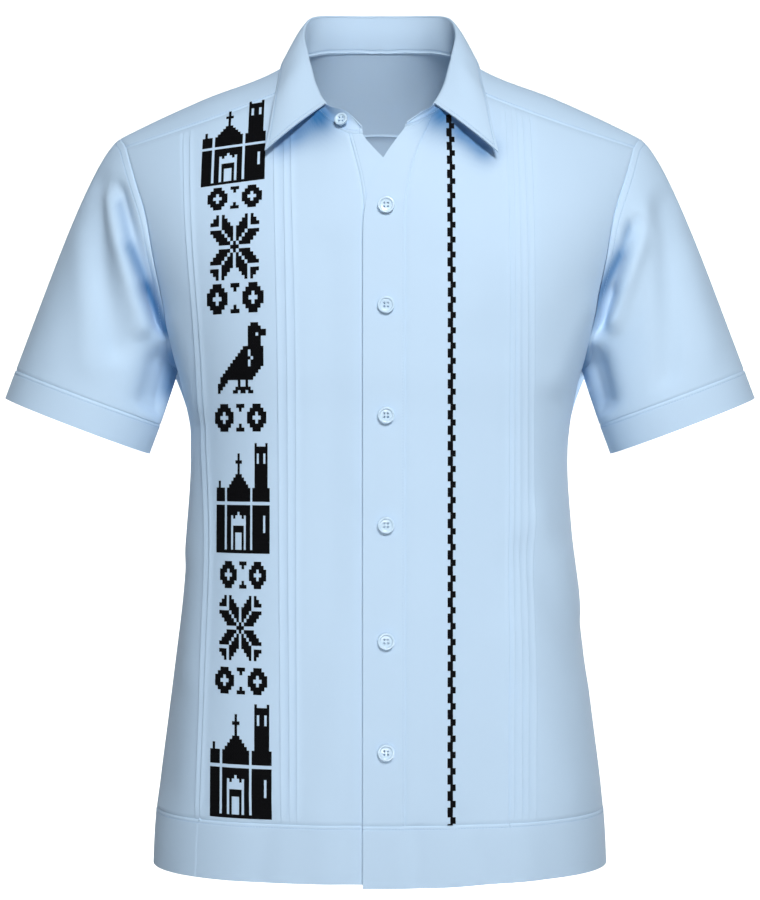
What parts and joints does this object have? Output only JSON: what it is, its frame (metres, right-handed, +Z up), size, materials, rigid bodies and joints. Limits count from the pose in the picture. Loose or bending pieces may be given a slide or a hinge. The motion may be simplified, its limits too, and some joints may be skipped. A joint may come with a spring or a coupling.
{
  "type": "guayabera shirt",
  "caption": "Short-sleeved sky-blue guayabera shirt worn open at the collar, with front tucks, a button placket, hem band, black cross-stitch panel and stepped line.",
  "frame": {"origin": "middle of the shoulder line at the neck, where the wearer's shoulders carry the shirt", "axes": "+Z up, +X to the wearer's left, -Y out of the front"},
  "size_m": [0.6816, 0.2465, 0.7758],
  "materials": {
    "cloth": "matt",
    "button": "satin"
  },
  "bodies": {
    "root": {"back": "cloth", "button_1": "button", "button_2": "button", "button_3": "button", "button_4": "button", "button_5": "button", "button_6": "button", "button_band": "cloth", "button_stand": "button", "collar_leaf": "cloth", "collar_stand": "cloth", "front_left": "cloth", "front_right": "cloth", "hem_band_back": "cloth", "hem_band_left": "cloth", "hem_band_right": "cloth", "placket": "cloth", "sleeve_band_left": "cloth", "sleeve_band_right": "cloth", "sleeve_left": "cloth", "sleeve_right": "cloth", "yoke": "cloth"}
  },
  "joints": []
}
